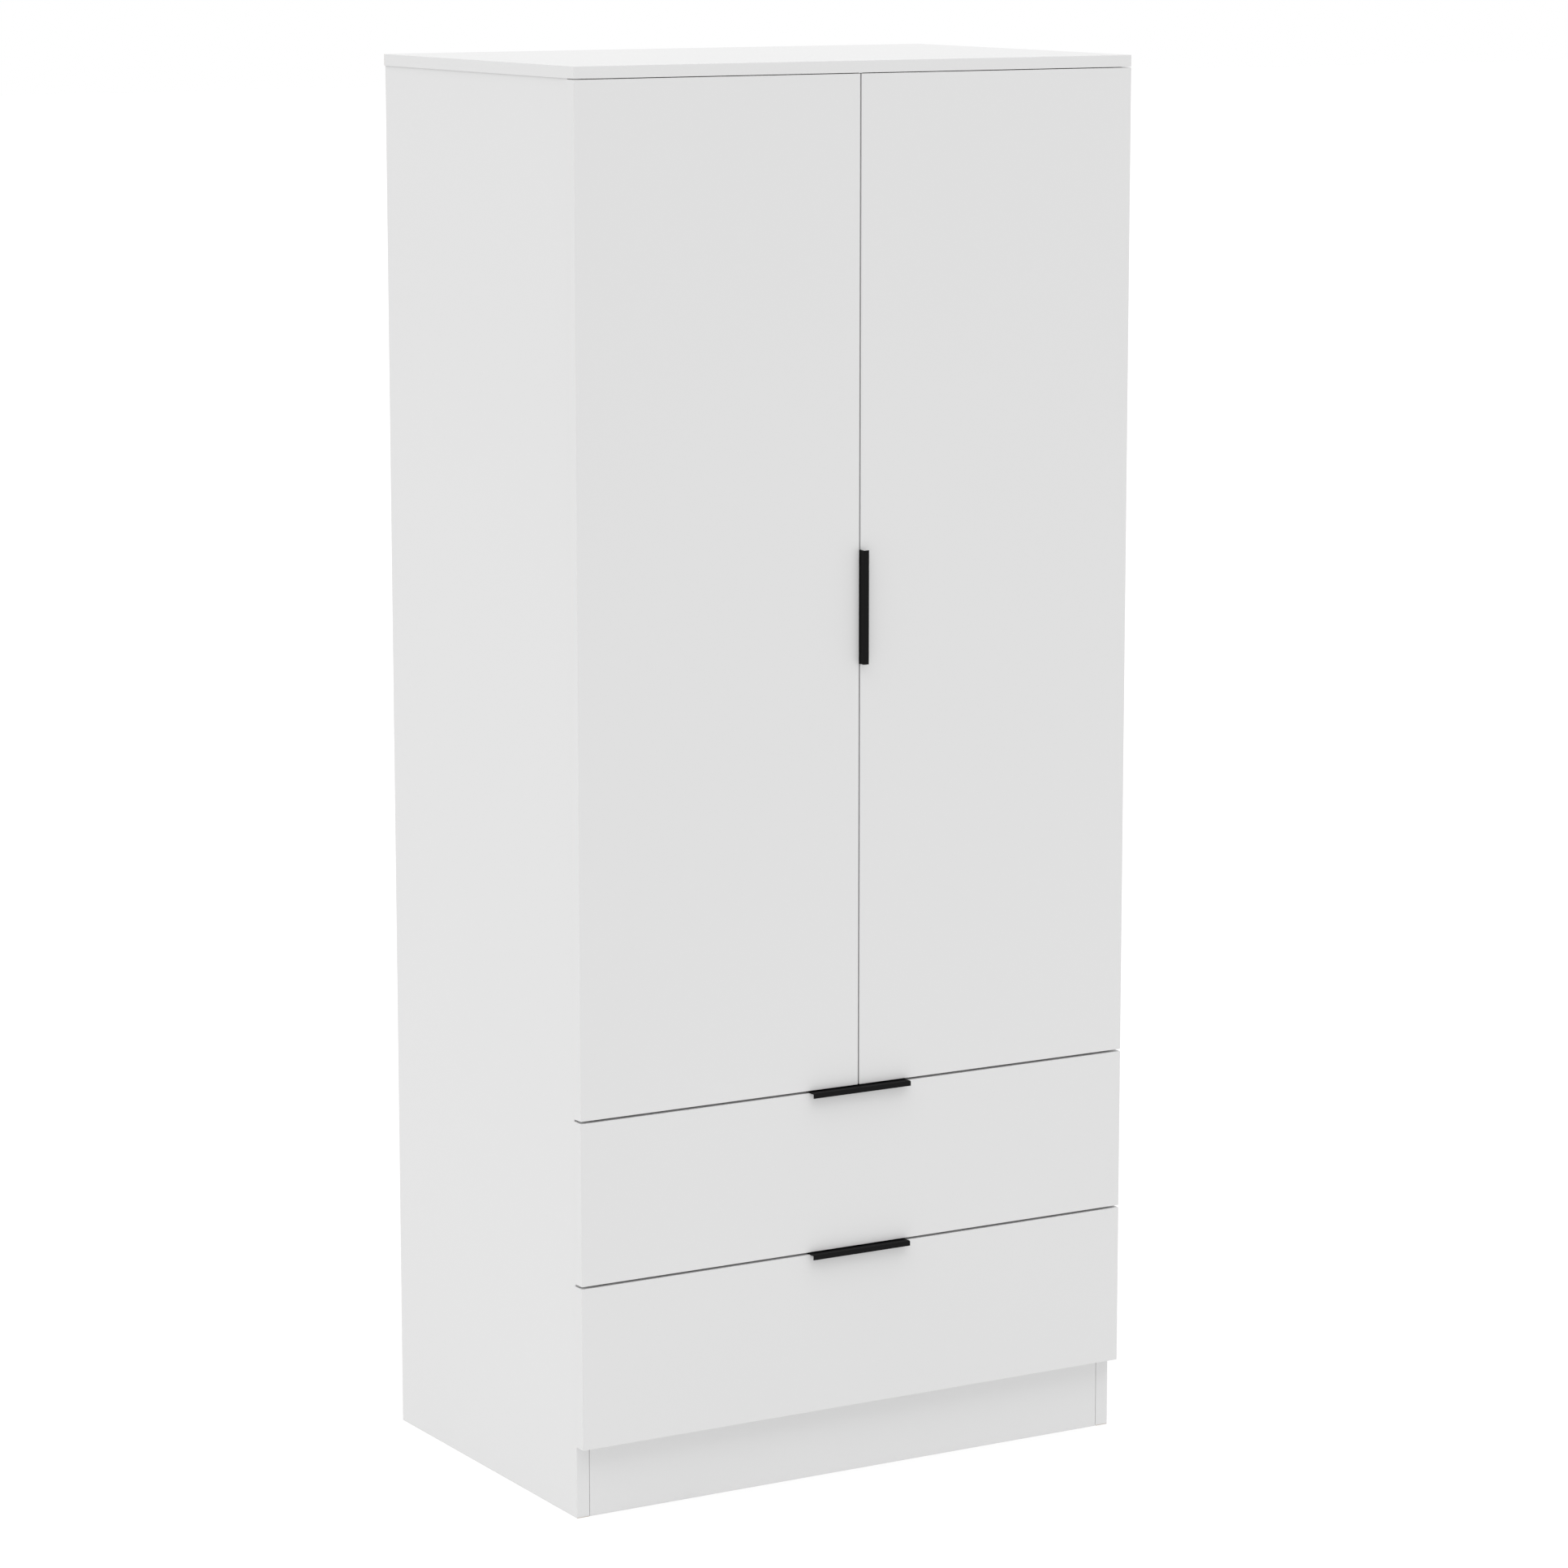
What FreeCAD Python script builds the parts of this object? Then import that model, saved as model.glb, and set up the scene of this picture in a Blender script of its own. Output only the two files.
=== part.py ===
import FreeCAD
import Part

import math
import os

# Wardrobe with two doors over two drawers, in millimetres.
# X runs left to right, Y from front to back, Z up. The origin is on the floor, in the middle of
# the box that holds the whole wardrobe, handles included.

# ---- driving dimensions -------------------------------------------------------------------
WIDTH = 800.0                 # over the top panel and the two doors
HEIGHT = 1800.0
BODY_DEPTH = 508.5            # door face to the back edge of the sides
HANDLE_REACH = 10.0           # how far the handles stand out from the fronts
BOARD = 18.0                  # sides, shelves, doors, drawer fronts
TOP_BOARD = 15.0
FRONT_GAP = 3.0               # between a drawer front and the front above it
DOOR_GAP = 2.0                # between the two doors
TOP_GAP = 1.0                 # between the doors and the top panel
DOOR_TO_BODY = 1.5            # between a closed front's back and the carcass
SIDE_INSET = 1.5              # side panel's outer face inside the top panel's end
PLINTH_HEIGHT = 100.0
PLINTH_END_GAP = 0.5          # between a plinth board's end and the side panel
FRONT_BOTTOM = 93.0           # lower edge of the lower drawer front
DRAWER_FRONT_HEIGHT = 207.0
EDGE_ROUND = 0.6              # rounding of the board edges

# ---- places worked out from them ----------------------------------------------------------
HALF_WIDTH = WIDTH / 2
FACE = -(BODY_DEPTH + HANDLE_REACH) / 2 + HANDLE_REACH
FRONT_BACK = FACE + BOARD
CARCASS_FRONT = FRONT_BACK + DOOR_TO_BODY
CARCASS_BACK = FACE + BODY_DEPTH
SIDE_OUT = HALF_WIDTH - SIDE_INSET
SIDE_IN = SIDE_OUT - BOARD
TOP_UNDER = HEIGHT - TOP_BOARD
UPPER_FRONT_BOTTOM = FRONT_BOTTOM + DRAWER_FRONT_HEIGHT + FRONT_GAP
DRAWERS_TOP = UPPER_FRONT_BOTTOM + DRAWER_FRONT_HEIGHT
DOOR_BOTTOM = DRAWERS_TOP + FRONT_GAP
DOOR_TOP = TOP_UNDER - TOP_GAP
MIDDLE_UNDER = DRAWERS_TOP + FRONT_GAP / 2 - BOARD / 2
MIDDLE_TOP = MIDDLE_UNDER + BOARD

# ---- back panels --------------------------------------------------------------------------
HARDBOARD = 3.0
BACK_INSET = 10.0             # from the carcass's back edge to the back panels
GROOVE_DEPTH = 6.0
GROOVE_PLAY = 0.2
BACK_FRONT = CARCASS_BACK - BACK_INSET - HARDBOARD
STRIP_WALL = 1.0
STRIP_FLANGE = 12.0
STRIP_WEB = 1.6

# ---- shelf and rail -----------------------------------------------------------------------
HAT_SHELF_UNDER = 1505.0
HAT_SHELF_SETBACK = 25.0
RAIL_HEIGHT = 30.0
RAIL_THICKNESS = 15.0
RAIL_WALL = 1.2
RAIL_Z = 1450.0
RAIL_Y = 0.0
SOCKET_WALL = 2.5
SOCKET_DEPTH = 12.0
SOCKET_FOOT = 3.0
SOCKET_EAR = 22.0
FIT_PLAY = 0.05
SAME = 0.01                   # places and lengths closer than this are the same
PARALLEL = 0.9                # cosine above which an edge counts as running along an axis

# ---- joinery ------------------------------------------------------------------------------
DOWEL_RADIUS = 4.0
DOWEL_IN_SIDE = 11.0
DOWEL_IN_BOARD = 19.0
CAM_RADIUS = 7.5
CAM_DEPTH = 12.5
CAM_FROM_END = 34.0
CAM_CROSS = (8.0, 1.6, 3.0)
CROSS_ANGLES = (45.0, 135.0)
BOLT_RADIUS = 3.5
BOLT_IN_SIDE = 11.0
DOWEL_OFFSET = 32.0           # from a cam bolt to the dowel beside it
SCREW_RADIUS = 1.75
SCREW_HEAD_RADIUS = 3.5
SCREW_HEAD = 1.6
SCREW_HEAD_CHAMFER = 0.5
SCREW_CROSS = (4.2, 0.9, 1.0)          # length, width and depth of the driver cross
SCREW_LENGTH = 13.0
LONG_SCREW = 45.0

# ---- drawers ------------------------------------------------------------------------------
DRAWER_BOARD = 15.0
DRAWER_SIDE_HEIGHT = 150.0
DRAWER_SIDE_RAISE = 40.0      # drawer side's lower edge above the front's lower edge
DRAWER_LENGTH = 450.0
BOTTOM_RAISE = 12.0           # drawer bottom above the side's lower edge
SLIDE_THICKNESS = 12.7
SLIDE_HEIGHT = 45.0
SLIDE_SHEET = 1.2
SLIDE_SETBACK = 3.0
SLIDE_RAISE = 60.0            # slide's middle above the drawer side's lower edge
SLIDE_SCREW_SETBACKS = (34.0, 226.0, 418.0)
CABINET_MEMBER_REACH = 9.5
MIDDLE_MEMBER = (4.2, 10.6, 36.0)      # from the side panel, reach, height
INNER_MEMBER_REACH = 6.7
INNER_MEMBER_HEIGHT = 27.0
DRAWER_HALF = SIDE_IN - SLIDE_THICKNESS

# ---- handles ------------------------------------------------------------------------------
HANDLE_LENGTH = 143.5
HANDLE_SHEET = 1.2
HANDLE_LIP = 6.4
DOOR_HANDLE_LIP = 7.5
HANDLE_TAIL = 20.0
HANDLE_BEND = 1.5
DOOR_HANDLE_Z = 1124.0
HANDLE_SCREW_PITCH = 96.0
HANDLE_SCREW_UP = 6.0         # above the tail's lower edge

# ---- concealed hinges ---------------------------------------------------------------------
# Plan points are (inward from the side panel's outer face, forward from the carcass front).
ARM_REAR_PIN = (31.3, -20.0)
CUP_REAR_PIN = (7.5, 6.0)
ARM_FRONT_PIN = (32.5, 6.0)
CUP_FRONT_PIN = (13.2, 7.3)
INNER_LINK_BENDS = ((24.0, -4.0), (13.0, 9.0))
OUTER_LINK_LENGTH = 18.82
OUTER_LINK_ANGLE = -7.15      # degrees from inward, seen from above on the left side
PIN_RADIUS = 1.2
PIN_PLAY = 0.05
OPEN_PIVOT_HOLE = 2.5         # the pivot where the linkage is opened has room to spare
EYE_RADIUS = 2.6
OPEN_EYE_RADIUS = 3.9
INNER_LINK_HALF = 1.7         # half the link's width in plan
OUTER_LINK_HALF = 1.5
OUTER_LINK_Z = (0.0, 3.0)     # distances from the hinge's middle height
CUP_LUG_Z = (3.3, 4.6)
INNER_LINK_Z = (5.0, 6.6)
CHEEK_Z = (6.9, 8.1)
CUP_RADIUS = 17.5
CUP_DEPTH = 12.5
CUP_WALL = 0.8
CUP_CENTRE = 21.0             # inward from the side panel's outer face
CUP_FLANGE = 1.0
CUP_EAR_PITCH = 48.0
CUP_EAR_SHIFT = 9.5           # screw row inward from the cup's centre
LUG_HALF = 2.1
LUG_LEAN = 1.5
ARM_TOP = 34.6                # arm's back, inward from the side panel's outer face
ARM_SHEET = 1.3
ARM_SCREW_SETBACKS = (58.0, 44.0)
ARM_SCREW_LENGTH = 9.0
WING_SHEET = 2.2
WING_ROUND = 5.0
RIB_TAIL = 4.0                # rib runs on behind the wings
EAR_OUT = 7.0                # reach of the cup flange's ears to either side of the cup's centre
EAR_IN = 17.0
EAR_END = 7.0                 # beyond the ear's screw
EAR_ROUND = 6.0
RIM_EXTRA = 1.0               # flange ring beyond the cup
NOTCH_PLAY = 0.5
NOTCH_DEPTH = 7.0             # open side of the rim, inward and into the door
PLATE_SETBACK = 37.0          # screw row behind the carcass front
PLATE_PITCH = 32.0
HINGE_INSET = 95.0            # end hinges from the door's ends
HINGE_HEIGHTS = (DOOR_BOTTOM + HINGE_INSET, (DOOR_BOTTOM + DOOR_TOP) / 2, DOOR_TOP - HINGE_INSET)

# ---- wall anchor --------------------------------------------------------------------------
BRACKET_X = 300.0
BRACKET_WIDTH = 30.0
BRACKET_LEG = 35.0
BRACKET_SHEET = 1.5
BRACKET_SCREW_HALF_PITCH = 8.0
BRACKET_SCREW_SETBACK = 12.0
BRACKET_SCREW_LENGTH = 9.0
ANCHOR_HOLE = 2.75
ANCHOR_DROP = 22.0            # hole below the top panel's underside

X_AXIS = FreeCAD.Vector(1, 0, 0)
Y_AXIS = FreeCAD.Vector(0, 1, 0)
Z_AXIS = FreeCAD.Vector(0, 0, 1)


# ---- shape helpers ------------------------------------------------------------------------
def box(x0, x1, y0, y1, z0, z1):
    low = FreeCAD.Vector(min(x0, x1), min(y0, y1), min(z0, z1))
    return Part.makeBox(abs(x1 - x0), abs(y1 - y0), abs(z1 - z0), low)


def board(x0, x1, y0, y1, z0, z1):
    plain = box(x0, x1, y0, y1, z0, z1)
    return plain.makeFillet(EDGE_ROUND, plain.Edges)


def rod(radius, start, direction, length):
    return Part.makeCylinder(radius, length, FreeCAD.Vector(*start), direction)


def mirrored(shape):
    return shape.mirror(FreeCAD.Vector(0, 0, 0), X_AXIS)


def fuse(shapes):
    joined = shapes[0]
    for shape in shapes[1:]:
        joined = joined.fuse(shape)
    return joined.removeSplitter()


def cut(shape, tools):
    for tool in tools:
        shape = shape.cut(tool)
    return shape


def edges_along(shape, axis):
    return [edge for edge in shape.Edges
            if abs(edge.tangentAt(edge.FirstParameter).dot(axis)) > PARALLEL]


def group(shapes):
    return shapes[0] if len(shapes) == 1 else Part.makeCompound(shapes)


def driver_cross(start, direction, size):
    """Two crossed bars that a driver slot leaves, from start along direction."""
    length, width, depth = size
    place = FreeCAD.Placement(FreeCAD.Vector(*start), FreeCAD.Rotation(Z_AXIS, direction))
    bars = []
    for angle in CROSS_ANGLES:
        slot = box(-length / 2, length / 2, -width / 2, width / 2, 0, depth)
        slot.rotate(FreeCAD.Vector(0, 0, 0), Z_AXIS, angle)
        slot.Placement = place.multiply(slot.Placement)
        bars.append(slot)
    return bars


def screw(start, direction, length=SCREW_LENGTH):
    """Pan-head screw whose head's underside is at start and whose shank runs along direction."""
    back = FreeCAD.Vector(*start) - direction * SCREW_HEAD
    crown = Part.makeCone(SCREW_HEAD_RADIUS - SCREW_HEAD_CHAMFER, SCREW_HEAD_RADIUS, SCREW_HEAD_CHAMFER,
                          back, direction)
    disk = Part.makeCylinder(SCREW_HEAD_RADIUS, SCREW_HEAD - SCREW_HEAD_CHAMFER,
                             back + direction * SCREW_HEAD_CHAMFER, direction)
    shank = rod(SCREW_RADIUS, start, direction, length)
    return cut(fuse([crown, disk, shank]), driver_cross(tuple(back), direction, SCREW_CROSS))


def pilot(start, direction, length=SCREW_LENGTH):
    return rod(SCREW_RADIUS, start, direction, length)


# ---- carcass joinery ----------------------------------------------------------------------
# Each joint of a board's end is a list of places (start, direction): bolts, cams and dowels.
CORNER_INSET = 60.0
PLINTH_BOLT_Z = 30.0
PLINTH_DOWEL_Z = 65.0
BOLT_LENGTH = BOLT_IN_SIDE + CAM_FROM_END - CAM_RADIUS     # up to the cam's rim
DOWEL_LENGTH = DOWEL_IN_SIDE + DOWEL_IN_BOARD
TOP_SINK = BOLT_IN_SIDE        # how far bolts and dowels stand up into the top panel
BOLT_BORE_EXTRA = 2.0         # the bolt's bore breaks into the cam's
PLINTH_MIDDLES = (CARCASS_FRONT + BOARD / 2, CARCASS_BACK - 45.0)
SHELF_PLACES = ((PLINTH_HEIGHT, CARCASS_FRONT), (MIDDLE_UNDER, CARCASS_FRONT),
                (HAT_SHELF_UNDER, CARCASS_FRONT + HAT_SHELF_SETBACK))


def shelf_joints(under, front):
    """Fasteners at the right end of a board whose underside is at under."""
    middle = under + BOARD / 2
    for y, toward in ((front + CORNER_INSET, 1), (BACK_FRONT - CORNER_INSET, -1)):
        yield (((SIDE_IN + BOLT_IN_SIDE, y, middle), -X_AXIS),
               ((SIDE_IN - CAM_FROM_END, y, under), Z_AXIS),
               ((SIDE_IN + DOWEL_IN_SIDE, y + toward * DOWEL_OFFSET, middle), -X_AXIS))


def plinth_joint(y_middle):
    """Fasteners at the right end of a plinth board: the cam opens on its rear face."""
    return (((SIDE_IN + BOLT_IN_SIDE, y_middle, PLINTH_BOLT_Z), -X_AXIS),
            ((SIDE_IN - CAM_FROM_END, y_middle + BOARD / 2, PLINTH_BOLT_Z), -Y_AXIS),
            ((SIDE_IN + DOWEL_IN_SIDE, y_middle, PLINTH_DOWEL_Z), -X_AXIS))


def top_joints():
    """The top panel lies on the sides: bolts and dowels stand up, cams sit in the sides."""
    x_middle = SIDE_OUT - BOARD / 2
    for y, toward in ((CARCASS_FRONT + CORNER_INSET, 1), (CARCASS_BACK - CORNER_INSET, -1)):
        yield (((x_middle, y, TOP_UNDER + TOP_SINK), -Z_AXIS),
               ((SIDE_IN, y, TOP_UNDER - CAM_FROM_END), X_AXIS),
               ((x_middle, y + toward * DOWEL_OFFSET, TOP_UNDER + TOP_SINK), -Z_AXIS))


def right_joints():
    """Every joint at the right-hand side panel."""
    joints = list(top_joints())
    for under, front in SHELF_PLACES:
        joints.extend(shelf_joints(under, front))
    joints.extend(plinth_joint(y_middle) for y_middle in PLINTH_MIDDLES)
    return joints


def cam_lock(start, direction):
    """A cam with a driver cross in its open end."""
    return cut(rod(CAM_RADIUS, start, direction, CAM_DEPTH), driver_cross(start, direction, CAM_CROSS))


def with_mirrors(shapes):
    return [*shapes, *map(mirrored, shapes)]


def joinery():
    """Bolts, cams and dowels of both sides, as three lists."""
    joints = right_joints()
    bolts = [rod(BOLT_RADIUS, *bolt, BOLT_LENGTH) for bolt, _, _ in joints]
    cams = [cam_lock(*cam) for _, cam, _ in joints]
    dowels = [rod(DOWEL_RADIUS, *dowel, DOWEL_LENGTH) for _, _, dowel in joints]
    return with_mirrors(bolts), with_mirrors(cams), with_mirrors(dowels)


def joinery_bores():
    """Round bores for the right-hand joinery."""
    bores = []
    for bolt, cam, dowel in right_joints():
        bores += [rod(BOLT_RADIUS, *bolt, BOLT_LENGTH + BOLT_BORE_EXTRA), rod(CAM_RADIUS, *cam, CAM_DEPTH),
                  rod(DOWEL_RADIUS, *dowel, DOWEL_LENGTH)]
    return bores


# ---- carcass boards -----------------------------------------------------------------------
def back_groove_side():
    return box(SIDE_IN - 1, SIDE_IN + GROOVE_DEPTH, BACK_FRONT - GROOVE_PLAY / 2,
               BACK_FRONT + HARDBOARD + GROOVE_PLAY / 2, PLINTH_HEIGHT, HEIGHT)


def side_panel(bores):
    panel = board(SIDE_IN, SIDE_OUT, CARCASS_FRONT, CARCASS_BACK, 0, TOP_UNDER)
    return cut(panel, [back_groove_side(), *bores])


def top_panel(bores):
    panel = board(-HALF_WIDTH, HALF_WIDTH, FACE, CARCASS_BACK, TOP_UNDER, HEIGHT)
    groove = box(-SIDE_IN - GROOVE_DEPTH, SIDE_IN + GROOVE_DEPTH, BACK_FRONT - GROOVE_PLAY / 2,
                 BACK_FRONT + HARDBOARD + GROOVE_PLAY / 2, TOP_UNDER - 1, TOP_UNDER + GROOVE_DEPTH)
    return cut(panel, [groove, *bores])


def fixed_shelf(under, front, bores):
    return cut(board(-SIDE_IN, SIDE_IN, front, BACK_FRONT, under, under + BOARD), bores)


def plinth(y_middle, bores):
    end = SIDE_IN - PLINTH_END_GAP
    return cut(board(-end, end, y_middle - BOARD / 2, y_middle + BOARD / 2, 0, PLINTH_HEIGHT), bores)


# The back stands on the bottom panel's level and runs past the shelves' back edges.
BACK_LOW = PLINTH_HEIGHT + GROOVE_PLAY
BACK_HIGH = TOP_UNDER + GROOVE_DEPTH - GROOVE_PLAY


def back_panel():
    """The right half, from the joining strip to the side panel's groove."""
    sheet = box(STRIP_WEB / 2, SIDE_IN + GROOVE_DEPTH - GROOVE_PLAY, BACK_FRONT,
                BACK_FRONT + HARDBOARD, BACK_LOW, BACK_HIGH)
    screw_access = 6.0
    hole = rod(screw_access, (BRACKET_X, BACK_FRONT - 1, TOP_UNDER - ANCHOR_DROP), Y_AXIS, HARDBOARD + 2)
    return sheet.cut(hole)


def joining_strip():
    """T-section strip that holds the two back panels' inner edges against the shelves."""
    web = box(-STRIP_WEB / 2, STRIP_WEB / 2, BACK_FRONT, BACK_FRONT + HARDBOARD, BACK_LOW, TOP_UNDER)
    rear = box(-STRIP_FLANGE, STRIP_FLANGE, BACK_FRONT + HARDBOARD,
               BACK_FRONT + HARDBOARD + STRIP_WALL, BACK_LOW, TOP_UNDER)
    return fuse([web, rear])


# ---- hanging rail -------------------------------------------------------------------------
def oval_bar(height, thickness, x0, x1):
    """Solid bar of flat-oval section along X."""
    straight = height - thickness
    middle = box(x0, x1, RAIL_Y - thickness / 2, RAIL_Y + thickness / 2,
                 RAIL_Z - straight / 2, RAIL_Z + straight / 2)
    ends = [rod(thickness / 2, (x0, RAIL_Y, RAIL_Z + side * straight / 2), X_AXIS, x1 - x0)
            for side in (-1, 1)]
    return fuse([middle, *ends])


RAIL_END = SIDE_IN - SOCKET_FOOT


def hanging_rail():
    outer = oval_bar(RAIL_HEIGHT, RAIL_THICKNESS, -RAIL_END, RAIL_END)
    bore = oval_bar(RAIL_HEIGHT - 2 * RAIL_WALL, RAIL_THICKNESS - 2 * RAIL_WALL, -RAIL_END, RAIL_END)
    return outer.cut(bore)


def rail_socket():
    """Right-hand socket: a foot screwed to the side and a collar around the rail's end."""
    foot_height = RAIL_HEIGHT + 2 * SOCKET_EAR
    foot = oval_bar(foot_height, RAIL_THICKNESS + 2 * SOCKET_WALL, RAIL_END, SIDE_IN)
    collar = oval_bar(RAIL_HEIGHT + 2 * SOCKET_WALL, RAIL_THICKNESS + 2 * SOCKET_WALL,
                      SIDE_IN - SOCKET_FOOT - SOCKET_DEPTH, SIDE_IN)
    bore = oval_bar(RAIL_HEIGHT + 2 * FIT_PLAY, RAIL_THICKNESS + 2 * FIT_PLAY,
                    SIDE_IN - SOCKET_FOOT - SOCKET_DEPTH, RAIL_END)
    return cut(fuse([foot, collar]), [bore, *(pilot(*place) for place in socket_screws())])


def socket_screws():
    reach = RAIL_HEIGHT / 2 + SOCKET_EAR / 2
    return [((RAIL_END, RAIL_Y, RAIL_Z + side * reach), X_AXIS) for side in (-1, 1)]


# ---- drawer slides ------------------------------------------------------------------------
def channel(x_web, x_tip, height, y0, y1, z_middle):
    """C-section along Y, its web at x_web and its flanges reaching to x_tip."""
    inward = -1 if x_tip < x_web else 1
    sheet = SLIDE_SHEET * inward
    web = box(x_web, x_web + sheet, y0, y1, z_middle - height / 2, z_middle + height / 2)
    flanges = [box(x_web, x_tip, y0, y1, z_middle + side * height / 2,
                   z_middle + side * (height / 2 - SLIDE_SHEET)) for side in (-1, 1)]
    return fuse([web, *flanges])


def drawer_base(front_bottom):
    return front_bottom + DRAWER_SIDE_RAISE


def slide_middle(front_bottom):
    return drawer_base(front_bottom) + SLIDE_RAISE


SLIDE_FRONT = CARCASS_FRONT + SLIDE_SETBACK
SLIDE_BACK = SLIDE_FRONT + DRAWER_LENGTH
SLIDE_SCREWS = tuple(SLIDE_FRONT + setback for setback in SLIDE_SCREW_SETBACKS)


def cabinet_screws(front_bottom):
    return [((SIDE_IN - SLIDE_SHEET, y, slide_middle(front_bottom)), X_AXIS) for y in SLIDE_SCREWS]


def member_screws(front_bottom):
    return [((DRAWER_HALF + SLIDE_SHEET, y, slide_middle(front_bottom)), -X_AXIS)
            for y in SLIDE_SCREWS]


def cabinet_member(front_bottom):
    member = channel(SIDE_IN, SIDE_IN - CABINET_MEMBER_REACH, SLIDE_HEIGHT, SLIDE_FRONT, SLIDE_BACK,
                     slide_middle(front_bottom))
    return cut(member, [pilot(*place) for place in cabinet_screws(front_bottom)])


def middle_member(front_bottom):
    offset, reach, height = MIDDLE_MEMBER
    return channel(SIDE_IN - offset, SIDE_IN - reach, height, SLIDE_FRONT, SLIDE_BACK,
                   slide_middle(front_bottom))


def drawer_member(front_bottom):
    member = channel(DRAWER_HALF, DRAWER_HALF + INNER_MEMBER_REACH, INNER_MEMBER_HEIGHT,
                     SLIDE_FRONT, SLIDE_BACK, slide_middle(front_bottom))
    return cut(member, [pilot(*place) for place in member_screws(front_bottom)])


# ---- drawers ------------------------------------------------------------------------------
SIDE_INNER_FACE = DRAWER_HALF - DRAWER_BOARD
DRAWER_BACK_FACE = FRONT_BACK + DRAWER_LENGTH
CORNER_SCREW_HEIGHTS = (35.0, 115.0)


def bottom_groove(front_bottom):
    low = drawer_base(front_bottom) + BOTTOM_RAISE
    return box(-SIDE_INNER_FACE - GROOVE_DEPTH, SIDE_INNER_FACE + GROOVE_DEPTH,
               FRONT_BACK - GROOVE_DEPTH, DRAWER_BACK_FACE + 1,
               low - GROOVE_PLAY / 2, low + HARDBOARD + GROOVE_PLAY / 2)


def drawer_bottom(front_bottom):
    low = drawer_base(front_bottom) + BOTTOM_RAISE
    edge = SIDE_INNER_FACE + GROOVE_DEPTH - GROOVE_PLAY
    return box(-edge, edge, FRONT_BACK - GROOVE_DEPTH + GROOVE_PLAY, DRAWER_BACK_FACE,
               low, low + HARDBOARD)


def back_corner_screws(front_bottom):
    """Screws through the right drawer side into the drawer back's end."""
    y = DRAWER_BACK_FACE - DRAWER_BOARD / 2
    return [((DRAWER_HALF, y, drawer_base(front_bottom) + height), -X_AXIS, LONG_SCREW)
            for height in CORNER_SCREW_HEIGHTS]


def front_dowels(front_bottom):
    """Dowels between the right drawer side's front end and the drawer front."""
    x = DRAWER_HALF - DRAWER_BOARD / 2
    in_front = 12.0
    return [rod(DOWEL_RADIUS, (x, FRONT_BACK - in_front, drawer_base(front_bottom) + height), Y_AXIS,
                in_front + DOWEL_IN_BOARD) for height in CORNER_SCREW_HEIGHTS]


def drawer_front(front_bottom):
    panel = board(-HALF_WIDTH, HALF_WIDTH, FACE, FRONT_BACK, front_bottom,
                  front_bottom + DRAWER_FRONT_HEIGHT)
    dowels = front_dowels(front_bottom)
    return cut(panel, [bottom_groove(front_bottom), *dowels, *map(mirrored, dowels),
                       *(pilot(*place) for place in drawer_handle_screws(front_bottom))])


def drawer_side(front_bottom):
    low = drawer_base(front_bottom)
    panel = board(SIDE_INNER_FACE, DRAWER_HALF, FRONT_BACK, DRAWER_BACK_FACE,
                  low, low + DRAWER_SIDE_HEIGHT)
    heads = [rod(SCREW_HEAD_RADIUS + FIT_PLAY, start, direction, SCREW_HEAD)
             for start, direction, _ in back_corner_screws(front_bottom)]
    return cut(panel, [bottom_groove(front_bottom), *front_dowels(front_bottom), *heads,
                       *(pilot(*place) for place in member_screws(front_bottom)),
                       *(pilot(*place) for place in back_corner_screws(front_bottom))])


def drawer_back(front_bottom):
    low = drawer_base(front_bottom) + BOTTOM_RAISE + HARDBOARD
    panel = board(-SIDE_INNER_FACE, SIDE_INNER_FACE, DRAWER_BACK_FACE - DRAWER_BOARD,
                  DRAWER_BACK_FACE, low + GROOVE_PLAY, drawer_base(front_bottom) + DRAWER_SIDE_HEIGHT)
    screws = [pilot(*place) for place in back_corner_screws(front_bottom)]
    return cut(panel, [*screws, *map(mirrored, screws)])


def drawer_screws(front_bottom):
    """Slide screws, sunk corner screws and handle screws of one drawer."""
    right = [screw(*place) for place in member_screws(front_bottom)]
    for start, direction, length in back_corner_screws(front_bottom):
        sunk = FreeCAD.Vector(*start) + direction * SCREW_HEAD
        right.append(screw(tuple(sunk), direction, length - SCREW_HEAD))
    handle = [screw(*place) for place in drawer_handle_screws(front_bottom)]
    return group([*with_mirrors(right), *handle])


# ---- handles ------------------------------------------------------------------------------
def edge_pull(lip):
    """Bent sheet pull along X. Its plate lies on Z = 0, over an edge from Y = 0 (front) inward."""
    front, back = -HANDLE_REACH, BOARD + HANDLE_SHEET
    plate = box(-HANDLE_LENGTH / 2, HANDLE_LENGTH / 2, front, back, 0, HANDLE_SHEET)
    grip = box(-HANDLE_LENGTH / 2, HANDLE_LENGTH / 2, front, front + HANDLE_SHEET,
               HANDLE_SHEET - lip, HANDLE_SHEET)
    tail = box(-HANDLE_LENGTH / 2, HANDLE_LENGTH / 2, BOARD, back, HANDLE_SHEET - HANDLE_TAIL, HANDLE_SHEET)
    pull = fuse([plate, grip, tail])
    bends = [edge for edge in pull.Edges
             if abs(edge.Length - HANDLE_LENGTH) < SAME and abs(edge.CenterOfMass.z - HANDLE_SHEET) < SAME]
    rounded = pull.makeFillet(HANDLE_BEND, bends)
    inner = [edge for edge in rounded.Edges
             if abs(edge.Length - HANDLE_LENGTH) < SAME
             and abs(edge.CenterOfMass.y - front - HANDLE_SHEET) < SAME
             and abs(edge.CenterOfMass.z) < SAME]
    rounded = rounded.makeFillet(HANDLE_BEND - HANDLE_SHEET, inner)
    return rounded.cut(group([rod(SCREW_RADIUS, (x, BOARD - 1, handle_screw_drop()), Y_AXIS,
                                  HANDLE_SHEET + 2) for x in handle_screw_places()]))


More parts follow.
